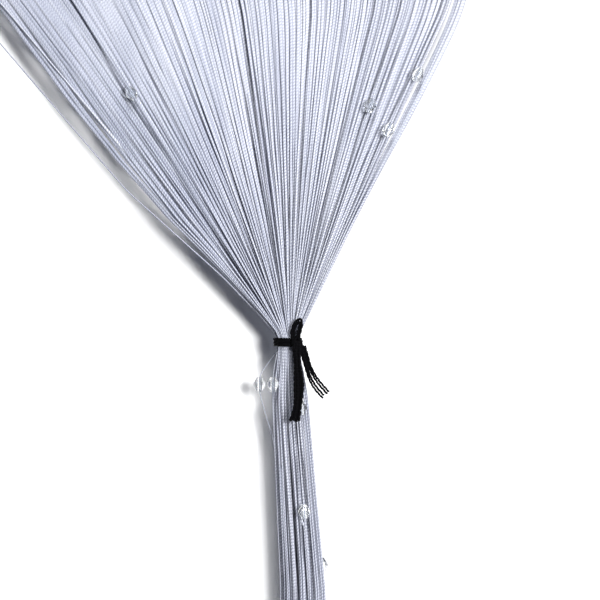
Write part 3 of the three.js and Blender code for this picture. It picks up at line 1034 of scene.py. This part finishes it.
strings()


# The strings' roots, in a narrow stitched strip under the heading

ROOT_SECTION = [
    # out, in half thicknesses, and up, in half heights
    (0.55, -1.0), (1.0, -0.7), (0.86, -0.3), (1.0, 0.0), (0.86, 0.3), (1.0, 0.7), (0.55, 1.0),
    (-0.55, 1.0), (-1.0, 0.7), (-0.86, 0.3), (-1.0, 0.0), (-0.86, -0.3), (-1.0, -0.7),
    (-0.55, -1.0),
]
ROOT_THICKNESS = 0.0016
ROOTS = 224


def root_strip():
    """A chain-stitched band, swollen where each string's root is caught in it."""
    stations = ROOTS * 4 + 1
    across = np.linspace(STRINGS_LOW.x, STRINGS_HIGH.x, stations)
    swell = 0.86 - 0.14 * np.cos(2 * math.pi * np.arange(stations) / 4)
    middle = STRIP_BOTTOM + STRIP_HEIGHT / 2
    sides = len(ROOT_SECTION)
    points = []
    for x, fat in zip(across, swell):
        for out, up in ROOT_SECTION:
            points.append((x, -out * fat * ROOT_THICKNESS / 2, middle + up * STRIP_HEIGHT / 2))
    faces = []
    for k in range(stations - 1):
        for j in range(sides):
            a, b = k * sides + j, k * sides + (j + 1) % sides
            faces.append((a, a + sides, b + sides, b))
    faces.append(tuple(range(sides)))
    faces.append(tuple(range((stations - 1) * sides, stations * sides))[::-1])
    uvs = [(0.5 + 0.5 * up, x) for x in across for _, up in ROOT_SECTION]
    piece = mesh_piece("root_strip", points, faces, STRING_YARN, uvs, np.full(len(points), 0.5))
    outwards(piece)
    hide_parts("strings")


root_strip()


# The heading tape

HEADING_FLAT = (1.0, 0.075)
HEADING_THICK = 0.0016
HEADING_COLUMNS = 400
HEADING_ROWS = 60
SELVEDGE = 0.0022
INSIDE_SELVEDGE = 0.72
RIPPLE = 0.0007
FINE_RIPPLE = 0.0002
SEAM_ROWS = (0.0035, 0.0068)
SEAM_STITCH = 0.0033
SEAM_THREAD_HALF = 0.00028
SEAM_SIDES = 6
# One stitch of the seams: along it, in lengths, and how full it is there.
SEAM_SECTION = [(-0.5, 0.15), (-0.32, 0.85), (0.0, 1.0), (0.32, 0.85), (0.5, 0.15)]


def heading_depth(x, z):
    """The tape's slight ripple: its middle surface, to the back."""
    down = (HEADING_HIGH.z - z) / HEADING_FLAT[1]
    slack = math.sin(x * 23 + 0.6) * math.sin(x * 7.3 + 2.1)
    return RIPPLE * down * slack + FINE_RIPPLE * math.sin(x * 71)


def heading():
    """A woven tape with two firm selvedges, a little uneven towards its lower edge."""
    wide = HEADING_HIGH.x - HEADING_LOW.x
    tall = HEADING_HIGH.z - HEADING_LOW.z
    bpy.ops.object.select_all(action="DESELECT")
    bpy.ops.mesh.primitive_grid_add(
        x_subdivisions=HEADING_COLUMNS,
        y_subdivisions=HEADING_ROWS,
        size=1,
        rotation=(math.pi / 2, 0, 0),
        location=(0, 0, (HEADING_HIGH.z + HEADING_LOW.z) / 2),
    )
    tape = bpy.context.object
    tape.name = "heading_tape"
    tape.scale = (wide, tall, 1)
    bpy.ops.object.transform_apply(location=True, rotation=True, scale=True)
    for corner in tape.data.vertices:
        corner.co.y = heading_depth(corner.co.x, corner.co.z)
    thicker = tape.modifiers.new("thickness", "SOLIDIFY")
    thicker.thickness = HEADING_THICK
    thicker.offset = 0
    bpy.ops.object.modifier_apply(modifier=thicker.name)
    # The selvedges are firmer, and the middle of the tape is a little thinner.
    for corner in tape.data.vertices:
        to_edge = min(HEADING_HIGH.z - corner.co.z, corner.co.z - HEADING_LOW.z)
        middle = heading_depth(corner.co.x, corner.co.z)
        full = 1.0 if to_edge < SELVEDGE else INSIDE_SELVEDGE
        corner.co.y = middle + (corner.co.y - middle) * full
    tape.data.materials.append(HEADING_WEAVE)
    tape.data.polygons.foreach_set("use_smooth", np.ones(len(tape.data.polygons), bool))
    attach(tape, "root")
    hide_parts("heading")


def heading_seams():
    """Two rows of running stitches that hold the strings' strip, seen on both faces."""
    points, faces = [], []
    sides = SEAM_SIDES
    long = SEAM_STITCH * 0.7
    count = int((HEADING_HIGH.x - HEADING_LOW.x - 0.004) / SEAM_STITCH)
    for row in SEAM_ROWS:
        z = HEADING_LOW.z + row
        for k in range(count):
            x = (k + 0.5 - count / 2) * SEAM_STITCH
            for face in (-1, 1):
                y = heading_depth(x, z) + face * HEADING_THICK * 0.36
                base = len(points)
                for share, size in SEAM_SECTION:
                    fat = SEAM_THREAD_HALF * size
                    for j in range(sides):
                        turn = 2 * math.pi * j / sides
                        deep, up = fat * math.cos(turn), fat * math.sin(turn)
                        points.append((x + share * long, y + deep, z + up))
                for a in range(len(SEAM_SECTION) - 1):
                    for j in range(sides):
                        b = base + a * sides + j
                        c = base + a * sides + (j + 1) % sides
                        faces.append((b, b + sides, c + sides, c))
                faces.append(tuple(range(base, base + sides)))
                last = base + (len(SEAM_SECTION) - 1) * sides
                faces.append(tuple(range(last, last + sides))[::-1])
    piece = mesh_piece("heading_seams", points, faces, SEAM_THREAD)
    outwards(piece)


heading()
heading_seams()


# The beads

BEAD_SIDES = 8
BEAD_RADIUS = 0.0041
BEAD_HALF = 0.0048
BEAD_BELT = 0.0005
BEAD_END = 0.0019
BEAD_HOLE = 0.00115
BEAD_EDGE = 0.00012
# Each bead is turned by this much against the one before.
BEAD_TURN = 2.399


def faces_where(mesh, test):
    for face in mesh.faces:
        face.select_set(test(face))
    mesh.select_flush_mode()


def over_the_hole(face):
    corners = [corner.co.xy.length for corner in face.verts]
    return abs(face.normal.z) > 0.9 and max(corners) < BEAD_HOLE * 1.05


def bead_shape():
    """One clear bead: two faceted cones base to base, a hole through it and softened edges."""
    bpy.ops.object.select_all(action="DESELECT")
    bpy.ops.mesh.primitive_cylinder_add(
        vertices=BEAD_SIDES, radius=BEAD_RADIUS, depth=2 * BEAD_BELT, end_fill_type="NGON"
    )
    bead = bpy.context.object
    bpy.ops.object.mode_set(mode="EDIT")
    bpy.ops.mesh.select_mode(type="FACE")
    for way in (1, -1):
        bpy.ops.mesh.select_all(action="DESELECT")
        mesh = bmesh.from_edit_mesh(bead.data)
        faces_where(mesh, lambda face: face.normal.z * way > 0.9)
        bmesh.update_edit_mesh(bead.data)
        rise = BEAD_HALF - BEAD_BELT
        bpy.ops.mesh.extrude_region_move(TRANSFORM_OT_translate={"value": (0, 0, way * rise)})
        shrink = BEAD_END / BEAD_RADIUS
        bpy.ops.transform.resize(
            value=(shrink, shrink, 1), center_override=(0, 0, way * BEAD_HALF), orient_type="GLOBAL"
        )
        rim = (BEAD_END - BEAD_HOLE) * math.cos(math.pi / BEAD_SIDES)
        bpy.ops.mesh.inset(thickness=rim, depth=0)
    bpy.ops.mesh.select_all(action="DESELECT")
    mesh = bmesh.from_edit_mesh(bead.data)
    faces_where(mesh, over_the_hole)
    bmesh.update_edit_mesh(bead.data)
    bpy.ops.mesh.bridge_edge_loops()
    bpy.ops.object.mode_set(mode="OBJECT")
    softer = bead.modifiers.new("edges", "BEVEL")
    softer.width = BEAD_EDGE
    softer.segments = 1
    softer.limit_method = "ANGLE"
    bpy.ops.object.modifier_apply(modifier=softer.name)
    return bead


def bead_place(node):
    """Where a bead is threaded: the middle of its two end faces, and the way its hole runs."""
    corners = np.unique(np.round([tuple(v.co) for v in node.data.vertices], 6), axis=0)
    corners = corners[np.argsort(corners[:, 2])]
    foot, head = corners[:12].mean(axis=0), corners[-12:].mean(axis=0)
    return Vector((foot + head) / 2), Vector(head - foot).normalized()


def beads():
    master = bead_shape()
    names = [name for name in nodes if name.startswith("bead_")]
    for k, name in enumerate(sorted(names)):
        middle, axis = bead_place(nodes[name])
        piece = bpy.data.objects.new(f"{name}_clear", master.data.copy())
        bpy.context.scene.collection.objects.link(piece)
        turn = Euler((0, 0, k * BEAD_TURN)).to_matrix().to_4x4()
        lean = Vector((0, 0, 1)).rotation_difference(axis).to_matrix().to_4x4()
        piece.data.transform(Matrix.Translation(middle) @ lean @ turn)
        piece.data.materials.clear()
        piece.data.materials.append(CLEAR_BEAD)
        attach(piece, "root")
        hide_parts(name)
    bpy.data.objects.remove(master)


beads()


# Stage and light


def board(name, size, middle, finish):
    """A flat square board."""
    bpy.ops.object.select_all(action="DESELECT")
    bpy.ops.mesh.primitive_plane_add(size=1, location=middle)
    plane = bpy.context.object
    plane.name = name
    plane.scale = (size, size, 1)
    plane.data.materials.append(finish)
    return plane


def stage():
    paper = Shader("pale_paper", Roughness=0.9)
    paper.set("Base Color", (0.6, 0.6, 0.6, 1))
    floor_height = STRINGS_LOW.z - FLOOR_BELOW
    floor = board("floor", FLOOR_SIZE, (0, 0, floor_height), paper.material)
    floor.visible_diffuse = False
    card = Shader("pale_card", Roughness=0.9)
    card.set("Base Color", (0.92, 0.92, 0.92, 1))
    # The backdrop is clear from behind, and it holds no light off the curtain's back.
    behind = card.node("ShaderNodeNewGeometry", output="Backfacing")
    behind = behind.larger(card.node("ShaderNodeLightPath", output="Is Shadow Ray"))
    clear = card.node("ShaderNodeBsdfTransparent")
    pale = Value(card, card.surface.outputs[0])
    both = card.node("ShaderNodeMixShader", None, {0: behind, 1: pale, 2: clear})
    end = next(n for n in card.tree.nodes if n.type == "OUTPUT_MATERIAL")
    card.tree.links.new(both.socket, end.inputs["Surface"])
    middle = (0, BACKDROP_BEHIND, floor_height + BACKDROP_SIZE / 2)
    backdrop = board("backdrop", BACKDROP_SIZE, middle, card.material)
    backdrop.rotation_euler = Euler((math.pi / 2, 0, 0))


def light(name, place, aim, size, power, spread):
    data = bpy.data.lights.new(name, "AREA")
    data.size = size
    data.spread = math.radians(spread)
    data.energy = power
    lamp = bpy.data.objects.new(name, data)
    bpy.context.scene.collection.objects.link(lamp)
    lamp.location = place
    lamp.rotation_euler = (Vector(aim) - Vector(place)).to_track_quat("-Z", "Y").to_euler()


def surroundings():
    """White as the camera sees them, pale grey through the beads, and dim as light."""
    world = bpy.data.worlds.new("studio")
    bpy.context.scene.world = world
    world.use_nodes = True
    nodes_in, links = world.node_tree.nodes, world.node_tree.links
    dim = nodes_in["Background"]
    through_bead, seen = (nodes_in.new("ShaderNodeBackground") for _ in range(2))
    inner, both = (nodes_in.new("ShaderNodeMixShader") for _ in range(2))
    ray = nodes_in.new("ShaderNodeLightPath")
    for background, colour in ((dim, AMBIENT), (through_bead, SEEN_THROUGH_BEADS), (seen, WHITE)):
        background.inputs["Color"].default_value = colour
    for source, socket in (
        (ray.outputs["Is Transmission Ray"], inner.inputs[0]),
        (dim.outputs[0], inner.inputs[1]),
        (through_bead.outputs[0], inner.inputs[2]),
        (ray.outputs["Is Camera Ray"], both.inputs[0]),
        (inner.outputs[0], both.inputs[1]),
        (seen.outputs[0], both.inputs[2]),
        (both.outputs[0], nodes_in["World Output"].inputs["Surface"]),
    ):
        links.new(source, socket)
    bpy.context.scene.view_settings.view_transform = "Standard"


stage()
for name, values in LIGHTS.items():
    light(name, *values)
surroundings()
